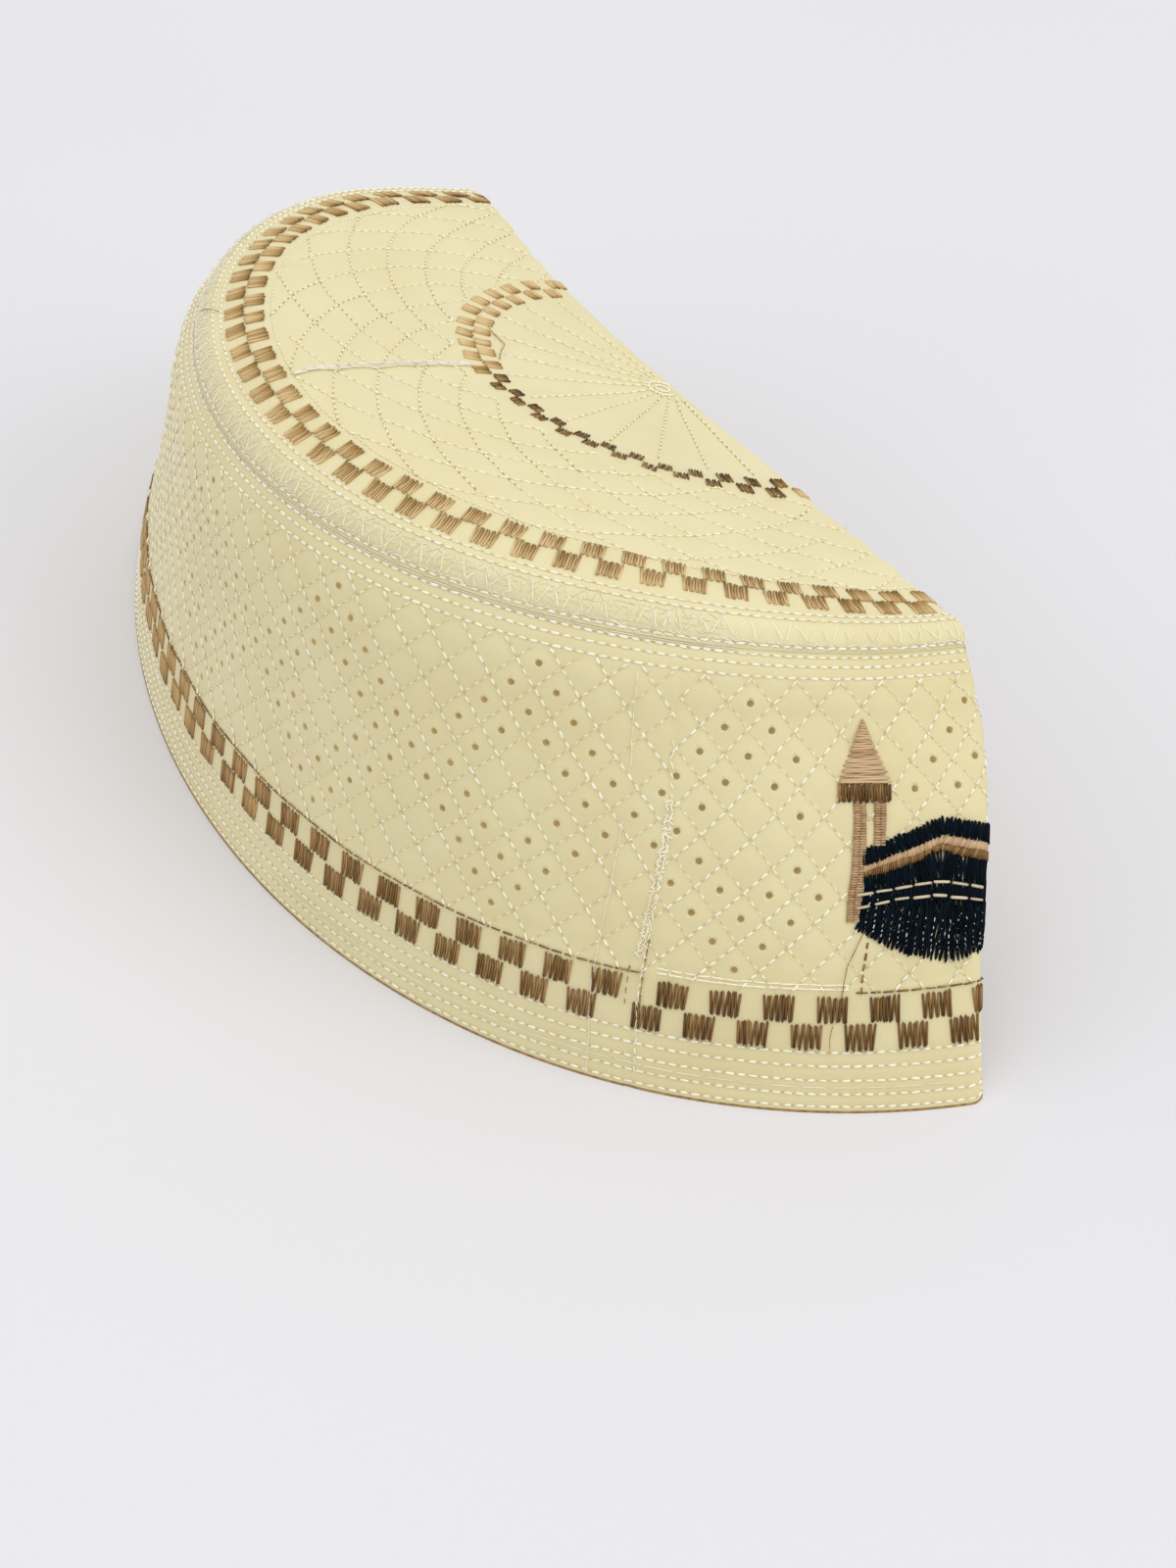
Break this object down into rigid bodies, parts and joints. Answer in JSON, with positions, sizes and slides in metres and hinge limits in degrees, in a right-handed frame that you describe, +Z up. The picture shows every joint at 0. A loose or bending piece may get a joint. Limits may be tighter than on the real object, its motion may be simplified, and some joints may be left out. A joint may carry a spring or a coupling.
{
  "type": "prayer cap",
  "caption": "Round embroidered prayer cap with a flat crown and a tall side band, folded in half for storage and standing on its rim.",
  "frame": {"origin": "on the surface that the rim stands on, under the middle of the folded cap's bounding box", "axes": "+X along the fold, from the left end of the folded cap to its right end, where the picture is; +Y backwards, out of the folded hollow; +Z up"},
  "size_m": [0.2306, 0.0898, 0.0712],
  "materials": {
    "crown_cloth": "matte, smooth laminated cloth with stitching",
    "band_cloth": "matte, smooth laminated cloth with stitching"
  },
  "bodies": {
    "root": {"crown": "crown_cloth", "side_band": "band_cloth"}
  },
  "joints": []
}
